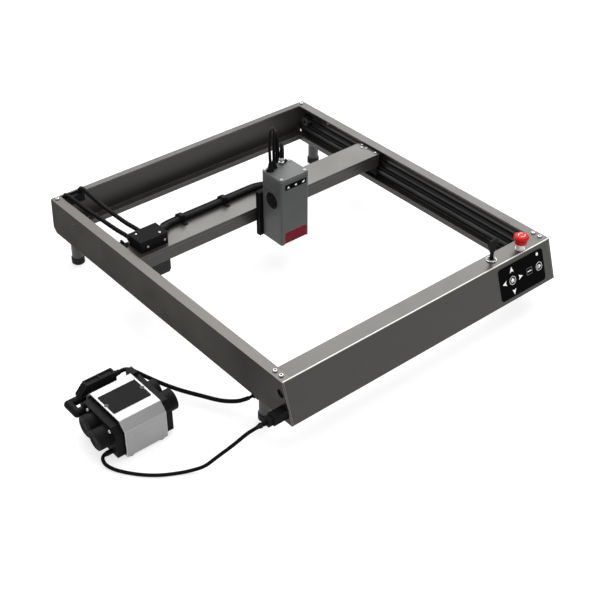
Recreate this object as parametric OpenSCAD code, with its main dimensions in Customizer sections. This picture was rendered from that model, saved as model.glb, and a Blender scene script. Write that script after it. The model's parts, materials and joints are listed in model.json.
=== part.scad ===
// Open-frame desktop laser cutter with a separate air pump.
// Everything is modelled round the centre of the machine on its table, front towards -Y,
// and then shifted so that the origin is under the middle of machine and pump together.

/* [Frame] */
// Width of the frame, over the side rails
frame_w = 516; // [500:1:540]
// Depth of the frame at its top face
frame_d = 575; // [565:1:600]
// Height of the top face above the table
top_z = 102; // [102:1:110]
// Height of the frame's panels
panel_h = 62; // [62:1:66]
// How far the front panel slopes out towards its foot
front_slope = 20; // [14:1:22]
// How far the rear panel slopes out towards its foot
rear_slope = 5; // [3:1:6]
// Wall thickness of panels and beam
wall = 2.5; // [2:0.5:3]
// Width of the side rails' top flange
side_flange = 16; // [15:1:17]
// Width of the front panel's top face
front_flange = 28; // [26:1:30]
// Width of the rear panel's top flange
rear_flange = 11; // [9:1:11]

/* [Gantry] */
// Front face of the beam, from the machine's centre
beam_y = 67; // [60:1:75]
// Depth of the beam
beam_d = 48; // [48:1:48]
// Height of the beam
beam_h = 24; // [24:1:24]
// Gap between the frame's top face and the beam's
beam_drop = 5; // [5:1:6]

/* [Laser module] */
// Width of the laser module
module_w = 54; // [50:1:56]
// Depth of the laser module
module_d = 47; // [44:1:47]
// Height of the laser module
module_h = 116; // [110:1:120]
// Middle of the laser module, to the right of the machine's centre
module_x = 8.5; // [0:0.5:12]
// Height of the laser module's lower edge above the table
module_z = 54; // [50:1:56]

/* [Air pump] */
// Width of the pump's metal shell
pump_w = 64; // [60:1:70]
// Depth of the pump's metal shell
pump_d = 94; // [90:1:96]
// Height of the pump's top above the table
pump_h = 58; // [56:1:60]
// Right side of the pump's shell, from the machine's centre
pump_right = -370; // [-380:1:-366]
// Front face of the pump's shell, from the machine's centre
pump_front = -184; // [-190:1:-180]

/* [Hidden] */
$fn = 48;
run_gap = 0.3;

// Frame levels and edges
half_w = frame_w / 2;
front_y = -frame_d / 2;
rear_y = frame_d / 2;
base_z = top_z - panel_h;
slope_angle = atan2(panel_h, front_slope);
lower_flange = 22;
lip_h = 6;
inner_w = half_w - side_flange;
channel_wall = half_w - wall;
leg_r = 9;
foot_r = 10.5;
foot_h = 11;
leg_x = half_w - 11;
leg_front_y = front_y + 50;
leg_rear_y = rear_y - 44;

// Side channel: guide rail, belt and pulleys
rail_z = base_z + 15.5;
rail_w = 7;
rail_t = 5;
belt_r = 6.4;
belt_t = 1.4;
belt_w = 6;
belt_z = base_z + 34;
belt_x = half_w - 9;
idler_rear_y = rear_y - 22.5;
drive_y = front_y + 11.3;
shaft_r = 2.5;
motor_s = 35;
drive_motor_s = 28;

// Gantry levels
beam_top = top_z - beam_drop;
beam_base = beam_top - beam_h;
beam_back = beam_y + beam_d;
beam_half = half_w - 17;
cover_t = 2.5;
cover_lip = 4;
slot_w = 9.5;
x_rail_y = beam_y + 17;
x_belt_y = beam_y + 36;
x_belt_z = beam_base + 14;
x_motor_x = -190;
x_idler_x = 230;
x_motor_h = 38;

// Laser module levels
module_back = beam_y - 13;
module_front = module_back - module_d;
module_top = module_z + module_h;
fan_y = module_front + 24;
fan_z = module_z + 72;
fan_r = 14;
bracket_w = 65;
bracket_x = module_x - 32.5;

// Operating parts on the front panel's top face
stop_x = 203.5;
stop_y = front_y + 9;
key_x = 149;
key_y = front_y + 16;

// Pump edges
pump_left = pump_right - pump_w;
pump_back = pump_front + pump_d;
pump_base = 3;
pump_bevel = 12;
pump_end = pump_left - 39;
manifold_y = pump_back + 8;
manifold_z = 51;

// Middle of machine and pump together, over the table
shift = [-(pump_end + half_w) / 2, (front_slope - rear_slope) / 2, 0];

// Routes of the free cord and hose, and of the cables between moving parts
plug_y = front_y - 6;
plug_z = 57;
hose_d = 6;
hose_route = [
    [-257, -215, 27], [-262, -213, 26], [-271, -205, 22], [-283, -186, 17],
    [-296, -160, 15], [-313, -133, 17], [-329, -113, 24.5], [-344, -97, 35],
    [-356, -86, 44.5], [-366, -82, 50], [-376, -82, 51]
];
cord_d = 5;
cord_route = [
    [-298, -293.5, 57], [-306, -293, 56], [-317, -288, 49], [-334, -281, 35],
    [-352, -273, 21], [-369, -266, 9], [-383, -258, 4], [-400, -249, 2.5],
    [-420, -237, 2.5], [-437, -222, 2.5], [-450, -206, 2.5], [-459, -192, 3],
    [-464, -180, 5], [-463.5, -171.5, 7.5], [-459.5, -166.8, 8.8], [-453.1, -166, 9]
];
gantry_cable_d = 7;
gantry_routes = [
    [
        [-209, 280, 103.2], [-209, 279.5, 105], [-209, 274, 108.5], [-209, 262, 109],
        [-209.5, 235, 107.5], [-210, 190, 107], [-209, 150, 107], [-207, 122, 108],
        [-206.5, 107.5, 108]
    ],
    [
        [-236, 280, 103.2], [-236, 279.5, 104.2], [-236, 273, 106], [-235, 262, 106],
        [-233, 230, 104], [-230, 187, 103.5], [-228, 150, 103.5], [-226, 122, 104.5],
        [-225.5, 107.5, 105]
    ]
];
loom_d = 9;
loom_hose_d = 5;
loom_route = [
    [-181.5, 99, 107], [-176, 99.3, 107], [-168, 104, 104], [-157, 109.5, 102],
    [-133, 110, 102], [-90, 110, 102], [-40, 110, 102], [0, 110, 102],
    [12, 108, 102.5], [22, 103, 103.5], [29, 97, 105]
];
loom_hose_route = [
    [-181.5, 103.8, 102.8], [-177, 104.2, 102.8], [-170, 111, 101.5], [-161, 117, 101],
    [-133, 118.5, 101], [-90, 118.5, 101], [-40, 118.5, 101], [0, 118.5, 101],
    [14, 117, 101.5], [27, 112, 102], [36, 104, 104]
];
lead_d = 4.5;
lead_routes = [
    [
        [-10, 43, 182], [-10, 44, 193], [-8, 47, 212], [-1, 54, 227], [9, 62, 228],
        [19, 68, 213], [25, 72, 186], [28, 76, 153], [28.5, 83, 125], [29, 92, 109]
    ],
    [
        [0, 47, 182], [0.5, 48, 193], [3, 51, 209], [9, 57, 221], [16, 64, 221],
        [23, 69, 206], [29, 73, 180], [33, 77, 151], [34, 84, 125], [34, 92, 110]
    ],
    [
        [17, 50, 178], [17.5, 51, 185], [20, 54, 194], [26, 61, 196], [33, 67, 185],
        [37.5, 72, 164], [39.5, 77, 140], [40, 86, 120], [38.5, 97, 108.5]
    ]
];

// ---------- helpers ----------

module place() {
    translate(shift) children();
}

module box(low, high) {
    translate(low) cube(high - low);
}

// A part outlined across the machine's depth and height, extruded from x0 to x1.
module side_profile(points, x0, x1) {
    translate([x0, 0, 0])
        rotate([90, 0, 90])
            linear_extrude(x1 - x0) polygon(points);
}

// A cylinder along X.
module x_rod(x0, x1, y, z, r) {
    translate([x0, y, z]) rotate([0, 90, 0]) cylinder(h = x1 - x0, r = r);
}

// A rounded plate outline.
module round_rect(w, h, r) {
    union() {
        square([w - 2 * r, h], center = true);
        square([w, h - 2 * r], center = true);
        for (sx = [-1, 1], sy = [-1, 1])
            translate([sx * (w / 2 - r), sy * (h / 2 - r)]) circle(r);
    }
}

// The outline of a belt round two equal pulleys, a distance apart along the first axis.
module belt_outline(length, r) {
    union() {
        circle(r);
        translate([length, 0]) circle(r);
        translate([0, -r]) square([length, 2 * r]);
    }
}

module belt_loop(length) {
    linear_extrude(belt_w) difference() {
        belt_outline(length, belt_r + belt_t / 2);
        belt_outline(length, belt_r - belt_t / 2);
    }
}

// A toothed pulley of the belt's width with two flanges, bored for its shaft.
module pulley(bore_r) {
    difference() {
        union() {
            cylinder(h = belt_w + 2.4, r = belt_r - belt_t / 2 - 0.1, center = true);
            for (s = [-1, 1])
                translate([0, 0, s * (belt_w / 2 + 0.7)]) cylinder(h = 1, r = 8, center = true);
        }
        cylinder(h = belt_w + 4, r = bore_r, center = true);
    }
}

// A button-head screw with a hexagon socket, its seat at z = 0.
module button_screw(r) {
    difference() {
        union() {
            cylinder(h = 0.45 * r, r = r);
            translate([0, 0, 0.45 * r]) cylinder(h = 0.25 * r, r1 = r, r2 = 0.7 * r);
        }
        translate([0, 0, 0.25 * r]) cylinder(h = r, r = 0.45 * r, $fn = 6);
    }
}

function catmull(a, b, c, d, t) =
    0.5 * (2 * b + (c - a) * t + (2 * a - 5 * b + 4 * c - d) * t * t
        + (3 * b - a - 3 * c + d) * t * t * t);

function spline(p, n) = [
    for (i = [0 : len(p) - 2], j = [0 : n - 1])
        catmull(p[max(i - 1, 0)], p[i], p[i + 1], p[min(i + 2, len(p) - 1)], j / n),
    p[len(p) - 1]
];

function unit(v) = v / norm(v);

// A round tube swept along a route; side is a direction that the route never follows.
module tube(route, d, side) {
    sides = 8;
    path = spline(route, 4);
    last = len(path) - 1;
    rings = [
        for (i = [0 : last])
            let (t = unit(path[min(i + 1, last)] - path[max(i - 1, 0)]))
            let (u = unit(cross(t, side)))
            let (v = cross(t, u))
            for (k = [0 : sides - 1])
                path[i] + d / 2 * (cos(360 * k / sides) * u + sin(360 * k / sides) * v)
    ];
    polyhedron(
        points = rings,
        faces = concat(
            [[for (k = [0 : sides - 1]) k]],
            [
                for (i = [0 : last - 1], k = [0 : sides - 1])
                    let (n = (k + 1) % sides)
                    [i * sides + k, (i + 1) * sides + k, (i + 1) * sides + n, i * sides + n]
            ],
            [[for (k = [sides - 1 : -1 : 0]) last * sides + k]]
        )
    );
}

// ---------- frame ----------

// Points on the front panel's outer slope: across the machine, and down from its top edge.
module on_slope(x, down) {
    translate([x, front_y, top_z]) rotate([slope_angle, 0, 0])
        translate([0, -down, 0]) children();
}

module front_panel() {
    inner_y = front_y + front_flange;
    slope_in = wall / sin(slope_angle);
    color([0.38, 0.37, 0.35]) place() difference() {
        union() {
            side_profile([
                [front_y, top_z], [front_y - front_slope, base_z],
                [inner_y, base_z], [inner_y, top_z]
            ], -inner_w, inner_w);
            side_profile([
                [front_y - wall * front_slope / panel_h, top_z - wall],
                [front_y - front_slope, base_z], [inner_y, base_z], [inner_y, top_z - wall]
            ], -channel_wall, channel_wall);
        }
        side_profile([
            [front_y + slope_in - wall * front_slope / panel_h, top_z - wall],
            [front_y - front_slope + slope_in + wall * front_slope / panel_h, base_z + wall],
            [inner_y - wall, base_z + wall], [inner_y - wall, top_z - wall]
        ], -channel_wall - 1, channel_wall + 1);
        translate([stop_x, stop_y, top_z - 5]) cylinder(h = 10, r = 6);
        translate([key_x, key_y, top_z - 5]) cylinder(h = 10, r = 6);
        for (sx = [-1, 1])
            box([sx * belt_x - 4.5, inner_y - wall - 1, belt_z - 8.5],
                [sx * belt_x + 4.5, inner_y + 1, belt_z + 8.5]);
    }
}

// One side rail, drawn on the right: an outer wall with a top flange and a lipped lower flange.
module side_rail() {
    side_profile([
        [front_y, top_z], [front_y - front_slope, base_z],
        [rear_y - 4, base_z], [rear_y + rear_slope - 1, base_z + 8], [rear_y, top_z]
    ], channel_wall, half_w);
    box([inner_w, front_y, top_z - wall], [channel_wall, rear_y, top_z]);
    box([half_w - lower_flange, front_y + front_flange, base_z],
        [channel_wall, rear_y - 19.5, base_z + wall]);
    box([half_w - lower_flange, front_y + front_flange, base_z + wall],
        [half_w - lower_flange + 2, rear_y - 19.5, base_z + wall + lip_h]);
}

module left_rail() {
    color([0.36, 0.35, 0.33]) place() difference() {
        mirror([1, 0, 0]) side_rail();
        for (p = [[221, 86], [262, 57], [253, 57]])
            x_rod(-half_w - 1, -channel_wall + 1, p[0], p[1], 2);
        x_rod(-half_w - 1, -channel_wall + 1, front_y + 4, top_z - 21, 6.8);
        box([-half_w - 1, plug_y - 4, plug_z - 4.5], [-channel_wall + 1, plug_y + 4, plug_z + 4.5]);
    }
}

module right_rail() {
    color([0.36, 0.35, 0.33]) place() difference() {
        side_rail();
        x_rod(channel_wall - 1, half_w + 1, 215, 86, 2);
    }
}

module rear_panel() {
    low_y = rear_y - 19.5;
    color([0.36, 0.35, 0.33]) place() difference() {
        union() {
            side_profile([
                [rear_y - wall, top_z - wall], [rear_y - wall + rear_slope, base_z],
                [rear_y + rear_slope, base_z],
                [rear_y + wall * rear_slope / panel_h, top_z - wall]
            ], -channel_wall, channel_wall);
            box([-inner_w, rear_y - rear_flange, top_z - wall], [inner_w, rear_y, top_z]);
            box([-channel_wall, low_y, base_z], [channel_wall, rear_y + 3.5, base_z + wall]);
            box([-half_w + lower_flange, low_y, base_z + wall],
                [half_w - lower_flange, low_y + 2, base_z + wall + lip_h]);
        }
        box([-inner_w - 1, rear_y - rear_flange - 1, top_z - wall - 1],
            [-203, rear_y - 3, top_z + 1]);
    }
}

module frame_screws() {
    color([0.85, 0.85, 0.83]) place() {
        for (sx = [-1, 1]) {
            for (y = [front_y + 11.5, front_y + 24])
                translate([sx * (half_w - 8), y, top_z]) button_screw(3.4);
            translate([sx * (half_w - 8), rear_y - 7, top_z]) button_screw(3.4);
        }
    }
}

module each_leg() {
    for (sx = [-1, 1], y = [leg_front_y, leg_rear_y])
        translate([sx * leg_x, y, 0]) children();
}

module leg_posts() {
    color([0.48, 0.48, 0.47]) place() each_leg()
        translate([0, 0, foot_h]) cylinder(h = base_z - foot_h, r = leg_r);
}

module foot_pads() {
    color([0.07, 0.07, 0.07]) place() each_leg() union() {
        cylinder(h = 1.5, r1 = foot_r - 1.5, r2 = foot_r);
        translate([0, 0, 1.5]) cylinder(h = foot_h - 1.5, r = foot_r);
    }
}

module y_guide_rails() {
    color([0.62, 0.63, 0.65]) place() for (sx = [-1, 1]) mirror([sx < 0 ? 1 : 0, 0, 0])
        difference() {
            box([channel_wall - rail_t, front_y + 32, rail_z - rail_w / 2],
                [channel_wall, rear_y - 8, rail_z + rail_w / 2]);
            for (s = [-1, 1])
                box([channel_wall - 3.4, front_y, rail_z + s * rail_w / 2 - 0.8],
                    [channel_wall - 1.8, rear_y, rail_z + s * rail_w / 2 + 0.8]);
        }
}

module y_belts() {
    color([0.08, 0.08, 0.08]) place() for (sx = [-1, 1])
        translate([sx * belt_x - belt_w / 2, drive_y, belt_z]) rotate([90, 0, 90])
            belt_loop(idler_rear_y - drive_y);
}

// The motor of the cross shaft, with its mounting plate against the front panel's inner wall.
module y_motor() {
    half = drive_motor_s / 2;
    color([0.12, 0.12, 0.13]) place() difference() {
        union() {
            difference() {
                box([-180, drive_y - half, belt_z - half], [-144, drive_y + half - 0.2, belt_z + half]);
                for (sy = [-1, 1], sz = [-1, 1])
                    translate([-181, drive_y + sy * half, belt_z + sz * half])
                        rotate([45, 0, 0]) translate([0, -2.2, -2.2]) cube([38, 4.4, 4.4]);
            }
            box([-144, drive_y - 10, belt_z - half], [-141, front_y + front_flange - wall, belt_z + 11]);
        }
        x_rod(-182, -140, drive_y, belt_z, shaft_r + 0.1);
    }
}

// The bearings of the cross shaft in front, and the plates of the idlers at the rear.
module belt_brackets() {
    color([0.2, 0.2, 0.2]) place() for (sx = [-1, 1]) mirror([sx < 0 ? 1 : 0, 0, 0]) {
        difference() {
            box([236, drive_y - 9, belt_z - 10], [239, front_y + front_flange - wall, belt_z + 10]);
            x_rod(235, 240, drive_y, belt_z, shaft_r + 0.1);
        }
        box([253.9, idler_rear_y - 9, belt_z - 10], [channel_wall, idler_rear_y + 10, belt_z + 10]);
        x_rod(243.5, 254, idler_rear_y, belt_z, shaft_r);
    }
}

module y_pulley(sx, y) {
    color([0.75, 0.76, 0.78]) place() translate([sx * belt_x, y, belt_z]) rotate([0, 90, 0])
        pulley(shaft_r + 0.05);
}

module y_drive_shaft() {
    color([0.65, 0.66, 0.68]) place() x_rod(-253.4, 253.4, drive_y, belt_z, shaft_r);
}

module y_drive_pulleys() {
    for (sx = [-1, 1]) y_pulley(sx, drive_y);
}

module y_idler_left() { y_pulley(-1, idler_rear_y); }

module y_idler_right() { y_pulley(1, idler_rear_y); }

// ---------- controls and electronics ----------

module touch_panel() {
    color([0.03, 0.03, 0.035]) place() on_slope(191.8, 33.5)
        linear_extrude(0.8) round_rect(95.5, 51, 5);
}

module main_board() {
    board_z = base_z + 6;
    color([0.05, 0.3, 0.16]) place() {
        box([-80, front_y - 11, board_z], [110, front_y + 22, board_z + 1.6]);
        box([-60, front_y - 4, board_z + 1.6], [-30, front_y + 20, board_z + 9]);
        box([10, front_y - 6, board_z + 1.6], [34, front_y + 18, board_z + 5]);
        for (x = [-78, 102], y = [front_y - 9, front_y + 14])
            box([x, y, base_z + wall], [x + 6, y + 6, board_z]);
    }
}

module stop_collar() {
    color([0.82, 0.82, 0.8]) place() translate([stop_x, stop_y, top_z]) difference() {
        union() {
            cylinder(h = 1.2, r = 7.4);
            cylinder(h = 10, r = 6.3);
            translate([0, 0, -22]) cylinder(h = 22, r = 5.9);
        }
        translate([0, 0, -18]) cylinder(h = 29, r = 4.6);
    }
}

module stop_stem() {
    color([0.7, 0.06, 0.05]) place() translate([stop_x, stop_y, top_z]) difference() {
        translate([0, 0, -12]) cylinder(h = 27.5, r = 4.55);
        translate([0, 0, 6]) cylinder(h = 11, r = 3.05);
    }
}

module stop_head() {
    color([0.85, 0.07, 0.06]) place() translate([stop_x, stop_y, top_z]) union() {
        translate([0, 0, 6.3]) cylinder(h = 11, r = 3);
        difference() {
            translate([0, 0, 10.6]) cylinder(h = 6.4, r1 = 9.2, r2 = 9.6);
            translate([0, 0, 9.6]) cylinder(h = 6.3, r = 7);
        }
        translate([0, 0, 17]) cylinder(h = 1.2, r = 8.8);
        translate([0, 0, 18.2]) cylinder(h = 0.8, r1 = 9.6, r2 = 11.4);
        translate([0, 0, 19]) cylinder(h = 3, r = 11.4);
        translate([0, 0, 22]) cylinder(h = 1.6, r1 = 11.4, r2 = 9.4);
        translate([0, 0, 23.6]) cylinder(h = 0.8, r1 = 9.4, r2 = 6.4);
    }
}

module key_lock() {
    color([0.8, 0.8, 0.8]) place() translate([key_x, key_y, top_z]) difference() {
        union() {
            cylinder(h = 1.6, r = 7.8);
            translate([0, 0, 1.6]) cylinder(h = 1.2, r1 = 7.4, r2 = 6);
            translate([0, 0, -24]) cylinder(h = 24, r = 5.9);
        }
        translate([0, 0, -14]) cylinder(h = 20, r = 4.25);
    }
}

module key() {
    color([0.12, 0.12, 0.12]) place() translate([key_x, key_y, top_z]) union() {
        translate([0, 0, -13]) cylinder(h = 14.6, r = 4.2);
        translate([-3.2, -1, 1.6]) cube([6.4, 2, 15]);
        translate([0, 1.6, 0]) rotate([90, 0, 0]) linear_extrude(3.2) difference() {
            hull() {
                translate([0, 30.5]) round_rect(19, 11, 4);
                translate([0, 16]) round_rect(8.4, 4, 1.5);
            }
            translate([0, 31.5]) circle(2);
        }
    }
}

module power_inlet() {
    color([0.05, 0.05, 0.05]) place() difference() {
        box([-half_w + 0.5, plug_y - 3.9, plug_z - 4.4],
            [-channel_wall + 12, plug_y + 3.9, plug_z + 4.4]);
        box([-half_w - 1, plug_y - 2.5, plug_z - 3], [-channel_wall + 8, plug_y + 2.5, plug_z + 3]);
    }
}

module hose_fitting() {
    color([0.1, 0.1, 0.1]) place() {
        box([-247, -221, 21], [-237, -209, base_z]);
        x_rod(-257, -247, -215, 27, 2.2);
        x_rod(-250, -247, -215, 27, 4.5);
    }
}

module cable_gland() {
    color([0.07, 0.07, 0.07]) place() union() {
        box([-241, rear_y - 11, top_z - 18], [-204, rear_y - 2.7, top_z - 4]);
        for (x = [-209, -236]) translate([x, rear_y - 7.5, top_z - 4]) cylinder(h = 5, r1 = 4.2, r2 = 3.6);
    }
}

module gantry_cables() {
    color([0.06, 0.06, 0.06]) place() for (route = gantry_routes)
        tube(route, gantry_cable_d, [0, 0, 1]);
}

// ---------- air pump ----------

module pump_outline(inset) {
    y0 = pump_front + inset;
    y1 = pump_back - inset;
    z1 = pump_h - inset;
    polygon([
        [y0, pump_base + inset], [y1, pump_base + inset],
        [y1, z1 - pump_bevel], [y1 - pump_bevel, z1],
        [y0 + pump_bevel, z1], [y0, z1 - pump_bevel]
    ]);
}

module pump_shell() {
    color([0.8, 0.8, 0.8]) place() translate([pump_left, 0, 0]) rotate([90, 0, 90])
        linear_extrude(pump_w) difference() {
            pump_outline(0);
            pump_outline(2);
        }
}

module pump_label() {
    color([0.09, 0.09, 0.09]) place()
        translate([(pump_left + pump_right) / 2, (pump_front + pump_back) / 2 + 1, pump_h])
            linear_extrude(0.8) difference() {
                round_rect(58, 40, 1);
                for (sx = [-1, 1]) translate([sx * 29, 0]) circle(4);
            }
}

module pump_valve_cap() {
    face_x = pump_left - 12;
    color([0.08, 0.08, 0.08]) place() union() {
        difference() {
            side_profile([
                [pump_front + 4, 6], [pump_back - 4, 6], [pump_back - 4, 42],
                [pump_back - 14, 52], [pump_front + 14, 52], [pump_front + 4, 42]
            ], face_x, pump_left);
            x_rod(pump_left - 8, pump_left + 1, pump_front + 30, 30, 11);
            x_rod(pump_left - 8, pump_left + 1, pump_front + 60, 30, 11);
        }
        x_rod(face_x - 18, face_x, pump_front + 26, 32, 14.8);
        x_rod(face_x - 14, face_x, pump_front + 56, 32, 16);
        x_rod(face_x - 7, face_x, -166, 9, 3.6);
        for (p = [[14, 47], [pump_d - 28, 48.5], [pump_d - 16, 14]])
            x_rod(face_x - 2, face_x, pump_front + p[0], p[1], 3);
    }
}

module pump_manifold() {
    elbow_x = pump_left - 23;
    low_z = manifold_z - 13;
    color([0.07, 0.07, 0.07]) place() union() {
        translate([0, manifold_y + 6, 0]) rotate([90, 0, 0]) linear_extrude(12) polygon([
            [pump_left - 8, manifold_z - 9], [pump_right - 14, manifold_z - 9],
            [pump_right - 14, manifold_z + 7], [pump_left + 3, manifold_z + 7],
            [pump_left - 6, manifold_z - 3], [pump_left - 8, manifold_z - 5]
        ]);
        x_rod(pump_right - 14, pump_right - 6, manifold_y, manifold_z, 2.5);
        x_rod(pump_right - 14, pump_right - 11, manifold_y, manifold_z, 4.5);
        x_rod(elbow_x, pump_left - 4, manifold_y, low_z, 6);
        translate([elbow_x, manifold_y, low_z]) sphere(6);
        translate([elbow_x, manifold_y, low_z]) rotate([90, 0, 0]) cylinder(h = 22, r = 6);
        translate([elbow_x, manifold_y - 22, low_z]) sphere(6);
        x_rod(elbow_x, pump_left - 12, manifold_y - 22, low_z, 6);
        box([pump_left - 8, pump_back, 30], [pump_left + 8, pump_back + 3, manifold_z - 6]);
        box([pump_right - 24, pump_back, 30], [pump_right - 14, pump_back + 3, manifold_z - 6]);
    }
}

module pump_end_cap() {
    face_x = pump_right + 12;
    color([0.08, 0.08, 0.08]) place() union() {
        difference() {
            side_profile([
                [pump_front + 4, 6], [pump_back - 4, 6], [pump_back - 4, 42],
                [pump_back - 14, 52], [pump_front + 14, 52], [pump_front + 4, 42]
            ], pump_right, face_x);
            x_rod(pump_right - 1, pump_right + 8, pump_front + 30, 30, 11);
            x_rod(pump_right - 1, pump_right + 8, pump_front + 60, 30, 11);
        }
        x_rod(face_x, face_x + 16, pump_front + 28, 34, 15.4);
        x_rod(face_x, face_x + 12, pump_front + 58, 33, 15);
        box([pump_right, pump_back - 14, 40], [pump_right + 10, pump_back + 1, 57]);
    }
}

module pump_feet() {
    color([0.05, 0.05, 0.05]) place()
        for (x = [pump_left + 8, pump_right - 8], y = [pump_front + 8, pump_back - 8])
            translate([x, y, 0]) cylinder(h = pump_base, r = 6.4);
}

module pump_coil() {
    mid_x = (pump_left + pump_right) / 2;
    color([0.7, 0.38, 0.15]) place() for (s = [-1, 1]) difference() {
        translate([mid_x, (pump_front + pump_back) / 2 + s * 22, 30]) rotate([90, 0, 0])
            cylinder(h = 20, r = 15, center = true);
        translate([mid_x, (pump_front + pump_back) / 2 + s * 22, 30]) rotate([90, 0, 0])
            cylinder(h = 22, r = 6, center = true);
    }
    color([0.3, 0.3, 0.32]) place()
        box([mid_x - 22, (pump_front + pump_back) / 2 - 34, pump_base + 2],
            [mid_x + 22, (pump_front + pump_back) / 2 + 34, 15.1]);
}

module pump_armature() {
    mid_x = (pump_left + pump_right) / 2;
    mid_y = (pump_front + pump_back) / 2;
    color([0.6, 0.6, 0.62]) place() union() {
        box([mid_x - 26, mid_y - 5, 24], [mid_x + 26, mid_y + 5, 36]);
        x_rod(mid_x + 26, mid_x + 28, mid_y, 30, 9);
    }
}

module air_hose() {
    color([0.05, 0.05, 0.05]) place() tube(hose_route, hose_d, [0, 0, 1]);
}

module pump_cable() {
    color([0.04, 0.04, 0.04]) place() tube(cord_route, cord_d, [0, 0, 1]);
}

module pump_plug() {
    color([0.06, 0.06, 0.06]) place() union() {
        box([-half_w - 24, plug_y - 7, plug_z - 7], [-half_w, plug_y + 7, plug_z + 7]);
        box([-half_w - 32, plug_y - 5.5, plug_z - 5.5], [-half_w - 24, plug_y + 5.5, plug_z + 5.5]);
        translate([-half_w - 40, plug_y, plug_z]) rotate([0, 90, 0])
            cylinder(h = 8, r1 = 2.8, r2 = 4.5);
        box([-half_w, plug_y - 2.4, plug_z - 2.9], [-channel_wall + 7, plug_y + 2.4, plug_z + 2.9]);
    }
}

// ---------- gantry ----------

module beam() {
    color([0.3, 0.29, 0.28]) place() union() {
        difference() {
            box([-beam_half, beam_y, beam_base], [beam_half, beam_back, beam_top - cover_t]);
            box([-beam_half - 1, beam_y + wall, beam_base + wall],
                [beam_half + 1, beam_back - wall, beam_top + 1]);
            box([-beam_half + 20, beam_y + wall, beam_base - 1],
                [beam_half - 1.5, beam_y + wall + slot_w, beam_base + wall + 1]);
            translate([x_motor_x, x_belt_y, beam_base - 1]) cylinder(h = 5, r = 6);
        }
        translate([x_idler_x, x_belt_y, beam_base + 1])
            cylinder(h = x_belt_z - beam_base + 4, r = shaft_r);
    }
}

module beam_cover() {
    color([0.6, 0.58, 0.55]) place() union() {
        box([-half_w + 14, beam_y - 0.6, beam_top - cover_t],
            [half_w - 14, beam_back + 0.6, beam_top]);
        for (y = [beam_y - 0.6, beam_back])
            box([-beam_half, y, beam_top - cover_t - cover_lip],
                [beam_half, y + 0.6, beam_top - cover_t]);
    }
}

// One end of the gantry, drawn on the right: the plate, and the clamp that holds the belt.
module end_bracket() {
    lower_run = belt_z - belt_r;
    difference() {
        box([beam_half, beam_y + 5, 56], [beam_half + 3, beam_y + 43, beam_top - cover_t]);
        x_rod(beam_half - 1, beam_half + 4, beam_y + 34, beam_base + 11, 4);
    }
    difference() {
        box([beam_half + 3, beam_y + 17, lower_run - 3], [half_w - 5.6, beam_y + 29, lower_run + 3.4]);
        box([belt_x - belt_w / 2 - run_gap, beam_y + 16, lower_run - belt_t / 2 - run_gap],
            [half_w, beam_y + 30, lower_run + belt_t / 2 + run_gap]);
    }
}

module end_brackets() {
    color([0.1, 0.1, 0.1]) place() for (sx = [-1, 1])
        mirror([sx < 0 ? 1 : 0, 0, 0]) end_bracket();
}

module rail_blocks() {
    color([0.3, 0.31, 0.33]) place() for (sx = [-1, 1]) mirror([sx < 0 ? 1 : 0, 0, 0])
        difference() {
            box([beam_half + 3, beam_y + 9, rail_z - 8.5],
                [channel_wall - 1.8, beam_y + 39, rail_z + 8.5]);
            box([channel_wall - rail_t - run_gap, beam_y + 8, rail_z - rail_w / 2 - run_gap],
                [channel_wall, beam_y + 40, rail_z + rail_w / 2 + run_gap]);
        }
}

module junction_box() {
    color([0.08, 0.08, 0.08]) place() difference() {
        box([-230, beam_y + 8, beam_top], [-182, beam_y + 40, beam_top + 19]);
        box([-228, beam_y + 10, beam_top - 1], [-184, beam_y + 38, beam_top + 17]);
    }
}

module gantry_screws() {
    color([0.85, 0.85, 0.83]) place() {
        for (p = [[239.5, 40.5], [232.5, 33.5], [236.5, 26.5], [237.5, 6]])
            translate([p[0], beam_y + p[1], beam_top]) button_screw(2.2);
        for (p = [[-222, 32], [-192, 14]])
            translate([p[0], beam_y + p[1], beam_top + 19]) button_screw(2);
        for (x = [-218, -188])
            translate([x, beam_y + 8, beam_top + 8]) rotate([90, 0, 0]) button_screw(2);
    }
}

module x_guide_rail() {
    color([0.62, 0.63, 0.65]) place()
        box([-beam_half + 4, x_rail_y - rail_w / 2, beam_base + wall],
            [beam_half - 4, x_rail_y + rail_w / 2, beam_base + wall + rail_t]);
}

module x_belt() {
    color([0.08, 0.08, 0.08]) place()
        translate([x_motor_x, x_belt_y, x_belt_z - belt_w / 2]) belt_loop(x_idler_x - x_motor_x);
}

module x_motor() {
    color([0.12, 0.12, 0.13]) place() {
        translate([x_motor_x, x_belt_y, 0]) {
            translate([0, 0, beam_base - x_motor_h + 4]) linear_extrude(x_motor_h - 4)
                round_rect(motor_s, motor_s, 3);
            translate([0, 0, beam_base - 1]) cylinder(h = x_belt_z - beam_base + 4, r = shaft_r);
        }
        translate([x_motor_x, x_belt_y, beam_base - x_motor_h]) linear_extrude(4)
            round_rect(motor_s - 2, motor_s - 2, 3);
    }
}

module x_pulley() {
    color([0.75, 0.76, 0.78]) place() translate([x_motor_x, x_belt_y, x_belt_z])
        pulley(shaft_r + 0.05);
}

module x_idler() {
    color([0.75, 0.76, 0.78]) place() translate([x_idler_x, x_belt_y, x_belt_z])
        pulley(shaft_r + 0.05);
}

module beam_loom() {
    color([0.06, 0.06, 0.06]) place() {
        tube(loom_route, loom_d, [0, 0, 1]);
        tube(loom_hose_route, loom_hose_d, [0, 0, 1]);
    }
}

// ---------- carriage ----------

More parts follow.
